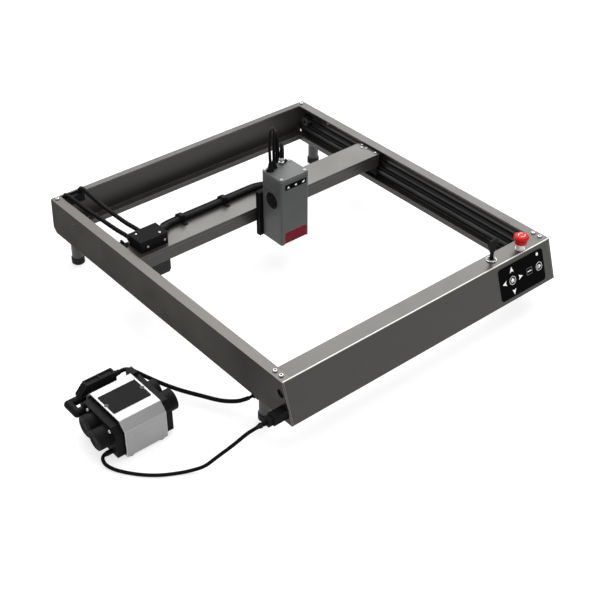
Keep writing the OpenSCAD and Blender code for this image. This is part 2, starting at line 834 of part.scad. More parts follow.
module carriage_bracket() {
    arm_y = beam_y + wall + 2;
    under_z = beam_base - 6.5;
    color([0.09, 0.09, 0.09]) place() union() {
        difference() {
            box([bracket_x, module_back + 0.5, module_z - 2],
                [bracket_x + bracket_w, beam_y - 4, module_z + 76]);
            x_rod(bracket_x + bracket_w - 18, bracket_x + bracket_w + 1, beam_y - 8.2, 92, 2.05);
        }
        box([module_x - 14, beam_y - 4, under_z], [module_x + 14, arm_y + 4, under_z + 3.5]);
        box([module_x - 14, arm_y, under_z + 3.5], [module_x + 14, arm_y + 4, beam_base + 10.5]);
    }
}

module carriage_block() {
    rail_top = beam_base + wall + rail_t;
    belt_run_y = x_belt_y - belt_r;
    color([0.3, 0.31, 0.33]) place() union() {
        difference() {
            box([module_x - 14, beam_y + wall + 6, beam_base + wall + 1.5],
                [module_x + 14, x_rail_y + 8.5, rail_top + 3]);
            box([module_x - 15, x_rail_y - rail_w / 2 - run_gap, beam_base],
                [module_x + 15, x_rail_y + rail_w / 2 + run_gap, rail_top + run_gap]);
        }
        difference() {
            box([module_x + 4, x_rail_y + 4, rail_top + 1],
                [module_x + 12, belt_run_y + 3, x_belt_z + 4]);
            box([module_x + 3, belt_run_y - belt_t / 2 - run_gap, x_belt_z - belt_w / 2 - run_gap],
                [module_x + 13, belt_run_y + belt_t / 2 + run_gap, x_belt_z + 5]);
        }
    }
}

module lock_knob() {
    knob_x = bracket_x + bracket_w;
    color([0.07, 0.07, 0.07]) place() {
        difference() {
            x_rod(knob_x + 0.4, knob_x + 5, beam_y - 8.2, 92, 7);
            for (a = [0 : 30 : 330])
                translate([knob_x, beam_y - 8.2, 92]) rotate([a, 0, 0]) translate([0, 7.6, 0])
                    rotate([0, 90, 0]) cylinder(h = 9, r = 1.1, $fn = 16);
        }
        x_rod(knob_x - 16, knob_x + 0.4, beam_y - 8.2, 92, 2);
    }
}

// ---------- laser module ----------

module module_outline(inset) {
    translate([module_x, module_front + module_d / 2])
        round_rect(module_w - 2 * inset, module_d - 2 * inset, 3);
}

module module_housing() {
    color([0.42, 0.44, 0.43]) place() difference() {
        translate([0, 0, module_z]) linear_extrude(module_h - 3) difference() {
            module_outline(0);
            module_outline(2.5);
        }
        x_rod(module_x - module_w / 2 - 1, module_x - module_w / 2 + 3, fan_y, fan_z, fan_r);
        box([module_x - module_w / 2 - 1, fan_y - 8, fan_z + 22],
            [module_x - module_w / 2 + 3, fan_y + 8, fan_z + 24]);
        box([module_x - 20.5, module_front - 1, module_z - 1],
            [module_x + 23.5, module_front + 3, module_z + 21]);
    }
}

module module_cap() {
    color([0.5, 0.53, 0.53]) place()
        translate([0, 0, module_top - 3]) linear_extrude(3) module_outline(0);
}

module heatsink() {
    low_z = module_z + 34;
    color([0.55, 0.56, 0.57]) place() union() {
        box([module_x + 2, module_front + 6, low_z], [module_x + 22, module_back - 5, low_z + 22]);
        for (i = [0 : 6])
            box([module_x - 10, module_front + 6 + 5.5 * i, low_z + 22],
                [module_x + 22, module_front + 8 + 5.5 * i, low_z + 66]);
        box([module_x - 10, module_front + 6, low_z + 20], [module_x + 22, module_back - 5, low_z + 23]);
        box([module_x + 22, module_front + 14, low_z + 4], [module_x + 24.5, module_back - 12, low_z + 16]);
    }
}

module lens_barrel() {
    color([0.7, 0.6, 0.3]) place() translate([module_x + 8, module_front + module_d / 2, 0])
        union() {
            translate([0, 0, module_z + 12]) cylinder(h = 22, r = 8);
            translate([0, 0, module_z + 4]) cylinder(h = 8, r1 = 4, r2 = 8);
        }
}

module fan_rotor() {
    hub_x = module_x - module_w / 2 + 4;
    color([0.05, 0.05, 0.05]) place() union() {
        x_rod(hub_x, hub_x + 6, fan_y, fan_z, 5);
        for (a = [0 : 360 / 7 : 359])
            translate([hub_x + 3, fan_y, fan_z]) rotate([a, 0, 0]) rotate([0, 0, 30])
                translate([-2.5, -0.5, 3]) cube([5, 1, fan_r - 4.5]);
    }
}

module laser_shield() {
    color([0.5, 0.05, 0.08]) place()
        box([module_x - 20.4, module_front + 0.2, module_z + 1],
            [module_x + 23.4, module_front + 2.4, module_z + 20.9]);
}

module indicator_strip() {
    color([0.04, 0.04, 0.04]) place()
        box([module_x - 19, module_front - 0.6, module_z + 97.5],
            [module_x + 21.5, module_front, module_z + 106]);
}

module module_leads() {
    color([0.05, 0.05, 0.05]) place() for (route = lead_routes) union() {
        tube(route, lead_d, [1, 0, 0]);
        translate([route[0][0], route[0][1], module_top])
            cylinder(h = route[0][2] - module_top + 1, r1 = 5, r2 = 2.6);
    }
}

// ---------- drawn nodes ----------

front_panel();
left_rail();
right_rail();
rear_panel();
frame_screws();
leg_posts();
foot_pads();
y_guide_rails();
y_belts();
y_motor();
belt_brackets();
touch_panel();
main_board();
stop_collar();
key_lock();
power_inlet();
hose_fitting();
cable_gland();
gantry_cables();
pump_shell();
pump_label();
pump_valve_cap();
pump_end_cap();
pump_manifold();
pump_feet();
pump_coil();
air_hose();
pump_cable();
pump_plug();
y_drive_shaft();
y_drive_pulleys();
y_idler_left();
y_idler_right();
stop_stem();
stop_head();
key();
pump_armature();
beam();
beam_cover();
end_brackets();
rail_blocks();
junction_box();
gantry_screws();
x_guide_rail();
x_belt();
x_motor();
beam_loom();
x_pulley();
x_idler();
carriage_bracket();
carriage_block();
lock_knob();
module_leads();
module_housing();
module_cap();
heatsink();
lens_barrel();
fan_rotor();
laser_shield();
indicator_strip();
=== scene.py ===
import json
import math

import bmesh
import bpy
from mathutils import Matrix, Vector


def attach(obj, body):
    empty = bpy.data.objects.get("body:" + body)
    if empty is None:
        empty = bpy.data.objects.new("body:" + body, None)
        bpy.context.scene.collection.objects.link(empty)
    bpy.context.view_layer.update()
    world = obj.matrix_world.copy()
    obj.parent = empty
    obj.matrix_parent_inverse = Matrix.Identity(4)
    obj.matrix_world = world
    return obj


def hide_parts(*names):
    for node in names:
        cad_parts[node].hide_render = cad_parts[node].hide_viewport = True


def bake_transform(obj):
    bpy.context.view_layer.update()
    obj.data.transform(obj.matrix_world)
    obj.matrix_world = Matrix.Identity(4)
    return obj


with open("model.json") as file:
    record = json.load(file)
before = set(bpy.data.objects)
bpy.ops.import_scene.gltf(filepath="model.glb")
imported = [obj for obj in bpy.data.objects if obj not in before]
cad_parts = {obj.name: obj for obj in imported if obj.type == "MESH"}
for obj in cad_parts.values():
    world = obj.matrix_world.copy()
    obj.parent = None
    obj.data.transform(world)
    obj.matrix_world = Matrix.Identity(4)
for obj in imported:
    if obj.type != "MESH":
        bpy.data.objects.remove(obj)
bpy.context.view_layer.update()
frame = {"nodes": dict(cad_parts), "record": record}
nodes = frame["nodes"]

# ---------------------------------------------------------------- measures
# Machine millimetres: middle of the machine on the table, front at -Y.
SHIFT = Vector((107.5, 7.5, 0.0))
FRONT, REAR, TOP = -287.5, 287.5, 102.0
SLOPE = math.atan2(62.0, 20.0)  # the front face falls 62 mm while it runs 20 mm
STOP = (203.5, -278.5)  # axis of the stop button
LOCK = (149.0, -271.5)  # axis of the key lock
HOME = (170.7, 33.5)  # marks of the touch panel: x, and distance down the slope
PLAY = (228.4, 33.7)
OUTLINE = (207.3, 33.1)
PANEL = 0.8  # how far the touch panel's face stands out from the slope
FAN = (31.0, 126.0)  # y and z of the fan's centre
MODULE_TOP = 170  # top of the module's cap
PUMP_AXIS = (-82, 51)  # y and z of the pump's air pipe


def R(x, y, z):
    """Machine millimetres to the part's frame in metres."""
    return (Vector((x, y, z)) + SHIFT) / 1000.0


def on_slope(x, down, out):
    """A point of the front panel's sloped face: down from its bend, and out from it."""
    return R(
        x,
        FRONT - down * math.cos(SLOPE) - out * math.sin(SLOPE),
        TOP - down * math.sin(SLOPE) + out * math.cos(SLOPE),
    )


def flat(x, y, z):
    """A place for a plate that lies level: u along X, v along Y, raised along Z."""
    return lambda u, v, w: R(x + u, y + v, z + w)


def upright(x, y, z, way=1):
    """A place for a plate that stands across X: u along Y, v along Z, raised along X."""
    return lambda u, v, w: R(x + way * w, y + u, z + v)


def on_front(x, down, out=PANEL):
    """A place for a plate that lies on the front panel's slope: u along X, v up the slope."""
    return lambda u, v, w: on_slope(x + u, down - v, out + w)


# ---------------------------------------------------------------- camera
CAMERA_PLACE = (-0.8722, -1.1788, 1.0981)
CAMERA_BACK = Vector((-0.5133, -0.6138, 0.5998))  # from the scene towards the camera


def aim(obj, place, direction):
    """Put a camera or lamp at a place, facing a direction."""
    obj.location = place
    obj.rotation_mode = "QUATERNION"
    obj.rotation_quaternion = direction.to_track_quat("-Z", "Y")
    bpy.context.scene.collection.objects.link(obj)


cam_data = bpy.data.cameras.new("camera")
cam_data.lens = 71.48
cam_data.sensor_width = 36.0
cam_data.clip_end = 50.0
cam = bpy.data.objects.new("camera", cam_data)
aim(cam, CAMERA_PLACE, -CAMERA_BACK)
bpy.context.scene.camera = cam


# ---------------------------------------------------------------- materials
NOISE_RANGE = {"From Min": 0.3, "From Max": 0.7}  # most of what a noise texture gives
BROAD_SCALE, BROAD = 22.0, 0.08  # broad mottling: its scale, and its share of the colour
ROUGH_SPREAD = 0.06  # how far roughness strays from its mean
# Cosines, between a rounded and a flat edge's normals, at which the painted highlight on an edge
# starts and is full
EDGE_HIGHLIGHT = {"From Min": 0.985, "From Max": 0.80, "To Min": 0.0}
HIGHLIGHT_BASE, HIGHLIGHT_GAIN = 0.35, 2.0  # colour of the painted highlight on an edge, from the colour of the face
mats = {}


def node(tree, kind, inputs=None, **settings):
    """A new shader node, with its settings and the values of its inputs."""
    n = tree.nodes.new(kind)
    for key, value in settings.items():
        setattr(n, key, value)
    for key, value in (inputs or {}).items():
        n.inputs[key].default_value = value
    return n


def finish_mat(
    name, colour, rough=0.5, metal=0.0, fine=900.0, fleck=0.12, bump=0.05, depth=0.0002,
    stretch=(1, 1, 1), edge=0.0, edge_radius=0.0008, spec=0.5, grazing=1.0,
):
    """Base colour with fine flecks and broad mottling, varied roughness, fine bump, and a painted
    highlight along its edges. The material is also kept in mats."""
    m = bpy.data.materials.new(name)
    m.use_nodes = True
    t = m.node_tree
    t.nodes.clear()
    link = t.links.new
    out = node(t, "ShaderNodeOutputMaterial")
    bsdf = node(t, "ShaderNodeBsdfPrincipled", {
        "Metallic": metal,
        "Specular IOR Level": spec,
        "Specular Tint": (grazing, grazing, grazing, 1),
    })
    link(bsdf.outputs["BSDF"], out.inputs["Surface"])
    coord = node(t, "ShaderNodeTexCoord")
    scale = node(t, "ShaderNodeMapping", {"Scale": stretch})
    link(coord.outputs["Object"], scale.inputs["Vector"])
    small = node(t, "ShaderNodeTexNoise", {"Scale": fine, "Detail": 3.0})
    link(scale.outputs["Vector"], small.inputs["Vector"])
    wide = node(t, "ShaderNodeTexNoise", {"Scale": BROAD_SCALE, "Detail": 4.0})
    link(coord.outputs["Object"], wide.inputs["Vector"])

    def ranged(source, mean, spread):
        r = node(t, "ShaderNodeMapRange", {
            **NOISE_RANGE, "To Min": mean - spread, "To Max": mean + spread,
        })
        link(source.outputs["Fac"], r.inputs["Value"])
        return r.outputs["Result"]

    factor = node(t, "ShaderNodeMath", operation="MULTIPLY")
    link(ranged(small, 1, fleck), factor.inputs[0])
    link(ranged(wide, 1, BROAD), factor.inputs[1])
    tint = node(t, "ShaderNodeVectorMath", {"Vector": colour}, operation="SCALE")
    link(factor.outputs["Value"], tint.inputs["Scale"])
    base = tint.outputs["Vector"]
    normal = None
    # Painted highlight: the colour is lightened along edges, where the rounded normal leaves the
    # flat one
    if edge > 0:
        round_n = node(t, "ShaderNodeBevel", {"Radius": edge_radius}, samples=4)
        geo = node(t, "ShaderNodeNewGeometry")
        dot = node(t, "ShaderNodeVectorMath", operation="DOT_PRODUCT")
        link(round_n.outputs["Normal"], dot.inputs[0])
        link(geo.outputs["Normal"], dot.inputs[1])
        mask = node(t, "ShaderNodeMapRange", {**EDGE_HIGHLIGHT, "To Max": edge})
        link(dot.outputs["Value"], mask.inputs["Value"])
        highlight_colour = [min(1.0, HIGHLIGHT_BASE + HIGHLIGHT_GAIN * c) for c in colour]
        mix = node(t, "ShaderNodeMix", data_type="RGBA")
        mix.inputs[7].default_value = (*highlight_colour, 1)  # inputs 6 and 7 are the colours that it mixes
        link(mask.outputs["Result"], mix.inputs[0])
        link(base, mix.inputs[6])
        base = mix.outputs[2]
        normal = round_n.outputs["Normal"]
    link(base, bsdf.inputs["Base Color"])
    link(ranged(wide, rough, ROUGH_SPREAD), bsdf.inputs["Roughness"])
    if bump > 0:
        b = node(t, "ShaderNodeBump", {"Strength": bump, "Distance": depth})
        link(small.outputs["Fac"], b.inputs["Height"])
        if normal is not None:
            link(normal, b.inputs["Normal"])
        normal = b.outputs["Normal"]
    if normal is not None:
        link(normal, bsdf.inputs["Normal"])
    mats[name] = m
    return m


def braid_mat(name, colour):
    """A woven sleeve: two sets of strands that cross on the tube's unwrapped surface."""
    m = finish_mat(name, colour, rough=0.62, bump=0.0, spec=0.15)
    t = m.node_tree
    bsdf = next(n for n in t.nodes if n.type == "BSDF_PRINCIPLED")
    coord = node(t, "ShaderNodeTexCoord")
    top = node(t, "ShaderNodeMath", operation="MAXIMUM")
    for i, angle in enumerate((45, -45)):
        turn = node(t, "ShaderNodeMapping", {"Rotation": (0, 0, math.radians(angle))})
        t.links.new(coord.outputs["UV"], turn.inputs["Vector"])
        wave = node(t, "ShaderNodeTexWave", {"Scale": 3.2})
        t.links.new(turn.outputs["Vector"], wave.inputs["Vector"])
        t.links.new(wave.outputs["Fac"], top.inputs[i])
    b = node(t, "ShaderNodeBump", {"Strength": 0.55, "Distance": 0.0006})
    t.links.new(top.outputs["Value"], b.inputs["Height"])
    t.links.new(b.outputs["Normal"], bsdf.inputs["Normal"])
    return m


# edge= sets the strength of a material's painted highlight along its edges
PAINT = dict(fine=1800, fleck=0.16, bump=0.10, depth=0.0001)
FRAME_GREY = (0.050, 0.048, 0.0445)
finish_mat("frame_paint", FRAME_GREY, 0.36, 0.55, edge=0.75, **PAINT)
# Copies of the frame's paint for the left rail, the rear panel and the beam, with painted light
# and shade
finish_mat(
    "left_paint_relit", (0.085, 0.0815, 0.077), 0.36, 0.85, edge=0.6, spec=0.15, grazing=0.2, **PAINT
)
finish_mat("rear_paint_relit", FRAME_GREY, 0.46, 0.3, edge=0.75, spec=0.35, **PAINT)
finish_mat("beam_paint_relit", (0.056, 0.054, 0.050), 0.36, 0.55, edge=0.5, **PAINT)
finish_mat("screw_steel", (0.50, 0.50, 0.49), 0.32, 1.0, edge=0.3)
finish_mat("leg_metal", (0.045, 0.045, 0.045), 0.45, 0.3, 700, stretch=(1, 1, 0.05), bump=0.1)
finish_mat("foot_rubber", (0.012, 0.012, 0.012), 0.7, spec=0.15, bump=0.25, fine=600)
finish_mat("rail_steel", (0.13, 0.13, 0.13), 0.42, 0.8, 900, stretch=(1, 0.02, 1), bump=0.08)
finish_mat("block_steel", (0.09, 0.09, 0.095), 0.35, 0.8, edge=0.4)
finish_mat("belt_rubber", (0.015, 0.015, 0.016), 0.6, spec=0.15, bump=0.2)
finish_mat("motor_black", (0.018, 0.018, 0.019), 0.42, 0.1, spec=0.15, edge=0.15)
finish_mat("bracket_black", (0.006, 0.006, 0.006), 0.58, 0.0, spec=0.03, edge=0.12)
finish_mat("pulley_aluminium", (0.16, 0.16, 0.165), 0.4, 0.8)
finish_mat("panel_black", (0.002, 0.002, 0.002), 0.42, fleck=0.05, bump=0.01, spec=0.01)
finish_mat("board_green", (0.01, 0.10, 0.05), 0.4, edge=0.1)
finish_mat("collar_white", (0.62, 0.62, 0.60), 0.28, edge=0.2)
finish_mat("stop_red", (0.46, 0.004, 0.006), 0.34, fleck=0.03, bump=0.02, spec=0.10, edge=0.05)
finish_mat("lock_chrome", (0.48, 0.48, 0.48), 0.16, 1.0, bump=0.02)
finish_mat("black_plastic", (0.006, 0.006, 0.006), 0.52, spec=0.05, fine=1400, bump=0.22, edge=0.1)
finish_mat("cable_black", (0.004, 0.004, 0.004), 0.55, spec=0.05, bump=0.12)
finish_mat(
    "pump_metal", (0.29, 0.29, 0.29), 0.40, 0.7, 1200, 0.05, stretch=(0.03, 1, 1), bump=0.10,
    edge=0.9, edge_radius=0.0014,
)
finish_mat("label_black", (0.010, 0.010, 0.010), 0.55, spec=0.03, fine=1600, edge=0.08)
finish_mat("coil_copper", (0.10, 0.045, 0.02), 0.35, 0.9, 1500, bump=0.3)
finish_mat("armature_steel", (0.35, 0.35, 0.36), 0.35, 1.0)
finish_mat(
    "module_grey", (0.074, 0.079, 0.076), 0.42, 0.15, spec=0.2, fine=1600, fleck=0.10,
    bump=0.08, edge=0.55,
)
finish_mat("heatsink_aluminium", (0.4, 0.4, 0.4), 0.35, 1.0)
finish_mat("lens_brass", (0.55, 0.38, 0.15), 0.25, 1.0)
finish_mat("shield_red", (0.15, 0.004, 0.012), 0.3, spec=0.06, fleck=0.04, bump=0.02)
mark_white = finish_mat("mark_white", (0.92, 0.92, 0.92), 0.5, fleck=0.03, bump=0.02)
mark_grey = finish_mat("mark_grey", (0.16, 0.16, 0.16), 0.5, fleck=0.03, bump=0.02)
# Light strips for the front bend: a painted highlight where the bend catches the light
bend_highlight = finish_mat("bend_highlight", (0.56, 0.54, 0.50), 0.45, 0.2, fleck=0.06, bump=0.02)
# Dark colour of sockets, grooves, notches, wells and seams: painted shade in these recesses
painted_shade = finish_mat("painted_shade", (0.012, 0.012, 0.012), 0.6, bump=0.02)
braid = braid_mat("braid", (0.010, 0.010, 0.010))
plastic, cable = mats["black_plastic"], mats["cable_black"]
bracket, steel = mats["bracket_black"], mats["screw_steel"]

for entry in frame["record"]["subparts"]:
    obj = nodes[entry["node"]]
    obj.data.materials.clear()
    obj.data.materials.append(mats[entry["material_slot"]])
# Parts that get copies of the frame's paint, tuned to paint in the light and shade that falls on
# them
for name, paint in (
    ("beam_cover", "beam_paint_relit"), ("beam", "beam_paint_relit"),
    ("left_rail", "left_paint_relit"), ("rear_panel", "rear_paint_relit"),
):
    nodes[name].data.materials[0] = mats[paint]


# ---------------------------------------------------------------- mesh helpers
SHARP = math.radians(38)  # faces that meet at more than this keep a sharp edge
ROUNDED = math.radians(35)  # edges sharper than this are rounded
WEAVE_TURNS, WEAVE_PITCH = 3, 0.0045  # the braid's pattern round a tube, and along it in metres


def add_piece(name, mesh, material, body, width=0.0):
    """Link a mesh as a smooth piece, with its edges rounded to a width, riding on a body."""
    mesh.materials.append(material)
    obj = bpy.data.objects.new(name, mesh)
    bpy.context.scene.collection.objects.link(obj)
    mesh.polygons.foreach_set("use_smooth", [True] * len(mesh.polygons))
    mesh.set_sharp_from_angle(angle=SHARP)
    if width > 0:
        b = obj.modifiers.new("round", "BEVEL")
        b.width = width
        b.segments = 2
        b.limit_method = "ANGLE"
        b.angle_limit = ROUNDED
    if body is not None:
        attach(obj, body)
    return obj


def mesh_piece(name, verts, faces, material, body, uvs=None):
    """A piece from points, faces and, for a woven sleeve, its unwrapped coordinates."""
    mesh = bpy.data.meshes.new(name)
    mesh.from_pydata([tuple(v) for v in verts], [], faces)
    mesh.update()
    if uvs is not None:
        layer = mesh.uv_layers.new(name="unwrap")
        for loop in mesh.loops:
            layer.data[loop.index].uv = uvs[loop.vertex_index]
    bm = bmesh.new()
    bm.from_mesh(mesh)
    bmesh.ops.recalc_face_normals(bm, faces=bm.faces)
    bm.to_mesh(mesh)
    bm.free()
    return add_piece(name, mesh, material, body)


def quads(rows, sides, closed=False):
    """Faces between rows of points that each run round in a loop; closed joins last to first."""
    return [
        (i * sides + k, i * sides + (k + 1) % sides,
         (i + 1) % rows * sides + (k + 1) % sides, (i + 1) % rows * sides + k)
        for i in range(rows if closed else rows - 1)
        for k in range(sides)
    ]


def caps(rows, sides):
    """The faces that close the first and the last row."""
    return [tuple(range(sides)), tuple((rows - 1) * sides + k for k in range(sides))]


def across(axis):
    """Three unit vectors, the first along axis and the others square to it."""
    z = Vector(axis).normalized()
    x = z.orthogonal().normalized()
    return z, x, z.cross(x)


def catmull(points, n):
    """A smooth line in the part's frame through points in machine millimetres."""
    p = [R(*q) for q in points]
    line = []
    for i in range(len(p) - 1):
        a, b, c, d = p[max(i - 1, 0)], p[i], p[i + 1], p[min(i + 2, len(p) - 1)]
        for j in range(n):
            t = j / n
            line.append(
                0.5
                * (
                    2 * b
                    + (c - a) * t
                    + (2 * a - 5 * b + 4 * c - d) * t * t
                    + (3 * b - a - 3 * c + d) * t * t * t
                )
            )
    return line + [p[-1]]


def tube(name, line, radii, material, body, sides=20):
    """A round tube along a line in the part's frame; radii is one radius or one per point."""
    count = len(line)
    if not isinstance(radii, (list, tuple)):
        radii = [radii] * count
    verts, uvs = [], []
    u = (line[1] - line[0]).normalized().orthogonal().normalized()
    run = 0.0
    for i, p in enumerate(line):
        t = (line[min(i + 1, count - 1)] - line[max(i - 1, 0)]).normalized()
        u = (u - t * u.dot(t)).normalized()
        v = t.cross(u)
        if i:
            run += (p - line[i - 1]).length
        for k in range(sides):
            a = 2 * math.pi * k / sides
            verts.append(p + radii[i] * (math.cos(a) * u + math.sin(a) * v))
            uvs.append((min(k, sides - k) * 2 / sides * WEAVE_TURNS, run / WEAVE_PITCH))
    faces = quads(count, sides) + caps(count, sides)
    return mesh_piece(name, verts, faces, material, body, uvs)


def revolve(name, profile, centre, axis, material, body, segments):
    """A turned piece: profile is (radius, height) in millimetres, along axis from centre."""
    z, x, y = across(axis)
    verts = []
    for r, h in profile:
        for k in range(segments):
            a = 2 * math.pi * k / segments
            verts.append(
                centre + (z * h + x * (r * math.cos(a)) + y * (r * math.sin(a))) / 1000.0
            )
    faces = quads(len(profile), segments) + caps(len(profile), segments)
    return mesh_piece(name, verts, faces, material, body)


def ring(name, centre, axis, radius, thick, material, body, segments=48, sides=8):
    """A round wire bent into a ring, in millimetres."""
    z, x, y = across(axis)
    verts = []
    for i in range(segments):
        a = 2 * math.pi * i / segments
        out = x * math.cos(a) + y * math.sin(a)
        for k in range(sides):
            b = 2 * math.pi * k / sides
            reach = radius + thick * math.cos(b)
            verts.append(centre + (out * reach + z * thick * math.sin(b)) / 1000)
    return mesh_piece(name, verts, quads(segments, sides, closed=True), material, body)


def plate(name, outline, place, low, high, material, body, width=0.0, holes=()):
    """A plate from an outline in millimetres; place(u, v, w) gives its point in the frame."""
    bm = bmesh.new()
    rims = [[bm.verts.new(place(u, v, low)) for u, v in rim] for rim in [outline, *holes]]
    edges = []
    for rim in rims:
        edges += [bm.edges.new((rim[i], rim[(i + 1) % len(rim)])) for i in range(len(rim))]
    made = bmesh.ops.triangle_fill(bm, use_beauty=True, use_dissolve=False, edges=edges)
    faces = [g for g in made["geom"] if isinstance(g, bmesh.types.BMFace)]
    up = place(0, 0, high) - place(0, 0, low)
    raised = bmesh.ops.extrude_face_region(bm, geom=faces)
    bmesh.ops.translate(
        bm, verts=[g for g in raised["geom"] if isinstance(g, bmesh.types.BMVert)], vec=up
    )
    bmesh.ops.recalc_face_normals(bm, faces=bm.faces)
    mesh = bpy.data.meshes.new(name)
    bm.to_mesh(mesh)
    bm.free()
    return add_piece(name, mesh, material, body, width)


def round_rect(w, h, r, n=5):
    """The outline of a rectangle with round corners of n steps each."""
    pts = []
    for cx, cy, start in (
        (w / 2 - r, h / 2 - r, 0), (-w / 2 + r, h / 2 - r, 90),
        (-w / 2 + r, -h / 2 + r, 180), (w / 2 - r, -h / 2 + r, 270),
    ):
        for i in range(n + 1):
            a = math.radians(start + 90 * i / n)
            pts.append((cx + r * math.cos(a), cy + r * math.sin(a)))
    return pts


def circle(r, n=40):
    """The outline of a circle."""
    angles = [2 * math.pi * i / n for i in range(n)]
    return [(r * math.cos(a), r * math.sin(a)) for a in angles]


def turned(points, a):
    """Points turned by an angle in radians."""
    c, s = math.cos(a), math.sin(a)
    return [(x * c - y * s, x * s + y * c) for x, y in points]


def length_of(line):
    """The length of a line of points."""
    return sum((line[i + 1] - line[i]).length for i in range(len(line) - 1))


# ---------------------------------------------------------------- hose and cord
HOSE_R, CORD_R = 0.003, 0.0025
RIB_STEP, RIB_COUNT = 4, 5  # points to a rib, and ribs to a sleeve
SLEEVE_GAP, RIB_GROOVE = 0.0001, 0.0005

hose_line = catmull([
    (-257, -215, 27), (-262, -213, 26), (-271, -205, 22), (-283, -186, 17),
    (-296, -160, 15), (-313, -133, 17), (-329, -113, 24.5), (-344, -97, 35),
    (-356, -86, 44.5), (-366, -82, 50), (-376, -82, 51),
], 8)
hose = tube("air_hose_soft", hose_line, HOSE_R, cable, "frame", 24)
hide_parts("air_hose")

cord_line = catmull([
    (-298, -293.5, 57), (-306, -293, 56), (-317, -288, 49), (-334, -281, 35),
    (-352, -273, 21), (-369, -266, 9), (-383, -258, 4), (-400, -249, 2.5),
    (-420, -237, 2.5), (-437, -222, 2.5), (-450, -206, 2.5), (-459, -192, 3),
    (-464, -180, 5), (-463.5, -171.5, 7.5), (-459.5, -166.8, 8.8), (-453.1, -166, 9),
], 8)
cord = tube("pump_cable_soft", cord_line, CORD_R, cable, "frame")
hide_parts("pump_cable")


def relief(name, line, radius, grow):
    """A tapered, ribbed sleeve round the start of a line, thick end first."""
    pts, radii = [], []
    n = RIB_COUNT * RIB_STEP
    total = length_of(line)
    for i in range(n + 1):
        want, run = total * i / n, 0.0
        for a, b in zip(line, line[1:]):
            step = (b - a).length
            if run + step >= want - 1e-9:
                pts.append(a + (b - a) * ((want - run) / step))
                break
            run += step
        in_groove = i % RIB_STEP in (2, 3) and i < n - 1
        taper = radius + grow * (1 - i / n) + SLEEVE_GAP
        radii.append(taper - (RIB_GROOVE if in_groove else 0.0))
    return tube(name, pts, radii, plastic, "frame", 24)


plug_relief = relief("plug_relief", cord_line[:8], CORD_R, 0.0016)
pump_relief = relief("pump_relief", cord_line[::-1][:8], CORD_R, 0.0012)
print("hose", round(length_of(hose_line), 4), "cord", round(length_of(cord_line), 4))

# ---------------------------------------------------------------- cables to the moving parts
CABLE_R, LOOM_R, LOOM_HOSE_R, LEAD_R = 0.0035, 0.0045, 0.0025, 0.00225

gantry_routes = [
    [(-209, 280, 103.2), (-209, 279.5, 105), (-209, 274, 108.5), (-209, 262, 109),
     (-209.5, 235, 107.5), (-210, 190, 107), (-209, 150, 107), (-207, 122, 108),
     (-206.5, 107.5, 108)],
    [(-236, 280, 103.2), (-236, 279.5, 104.2), (-236, 273, 106), (-235, 262, 106),
     (-233, 230, 104), (-230, 187, 103.5), (-228, 150, 103.5), (-226, 122, 104.5),
     (-225.5, 107.5, 105)],
]
for i, route in enumerate(gantry_routes, 1):
    p = tube(f"gantry_cable_{i}", catmull(route, 8), CABLE_R, cable, None)
    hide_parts("gantry_cables")
    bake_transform(p)

loom_line = catmull([
    (-181.5, 99, 107), (-176, 99.3, 107), (-168, 104, 104), (-157, 109.5, 102),
    (-133, 110, 102), (-90, 110, 102), (-40, 110, 102), (0, 110, 102),
    (12, 108, 102.5), (22, 103, 103.5), (29, 97, 105),
], 10)
loom_hose_line = catmull([
    (-181.5, 103.8, 102.8), (-177, 104.2, 102.8), (-170, 111, 101.5), (-161, 117, 101),
    (-133, 118.5, 101), (-90, 118.5, 101), (-40, 118.5, 101), (0, 118.5, 101),
    (14, 117, 101.5), (27, 112, 102), (36, 104, 104),
], 10)
loom = tube("loom_sleeve", loom_line, LOOM_R, braid, None, 28)
loom_hose = tube("loom_hose", loom_hose_line, LOOM_HOSE_R, cable, None)
for p in (loom, loom_hose):
    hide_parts("beam_loom")
    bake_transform(p)

lead_routes = [
    [(-10, 43, 182), (-10, 44, 193), (-8, 47, 212), (-1, 54, 227), (9, 62, 228),
     (19, 68, 213), (25, 72, 186), (28, 76, 153), (28.5, 83, 125), (29, 92, 109)],
    [(0, 47, 182), (0.5, 48, 193), (3, 51, 209), (9, 57, 221), (16, 64, 221),
     (23, 69, 206), (29, 73, 180), (33, 77, 151), (34, 84, 125), (34, 92, 110)],
    [(17, 50, 178), (17.5, 51, 185), (20, 54, 194), (26, 61, 196), (33, 67, 185),
     (37.5, 72, 164), (39.5, 77, 140), (40, 86, 120), (38.5, 97, 108.5)],
]
for i, route in enumerate(lead_routes, 1):
    lead = tube(f"module_lead_{i}", catmull(route, 8), LEAD_R, cable, None)
    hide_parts("module_leads")
    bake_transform(lead)

# ---------------------------------------------------------------- small pieces
ALONG_X, ALONG_Y, ALONG_Z = (1, 0, 0), (0, 1, 0), (0, 0, 1)
FINE_EDGE, SOFT_EDGE = 0.0003, 0.0004  # rounding of small edges, in metres
PRINT = 0.12  # thickness of a printed mark
SCREW_TOP = TOP + 2.3  # tops of the frame's and the beam's screws
BEAM_SCREW_TOP = 98.5


def screw(name, centre, axis, r, body):
    """A button screw of radius r, with its socket."""
    profile = [
        (0.02, 0.12 * r), (0.42 * r, 0.12 * r), (0.46 * r, 0.5 * r), (0.74 * r, 0.58 * r),
        (0.94 * r, 0.4 * r), (r, 0.16 * r), (r, -0.05),
    ]
    return revolve(name, profile, centre, axis, steel, body, 24)


# Laser module: corner screws and indicator marks
for i, (x, y) in enumerate([(-14.2, 11.3), (31.2, 11.3), (31.2, 49.7), (-14.2, 49.7)], 1):
    screw(f"module_screw_{i}", R(x, y, MODULE_TOP), ALONG_Z, 2.5, "laser_module")

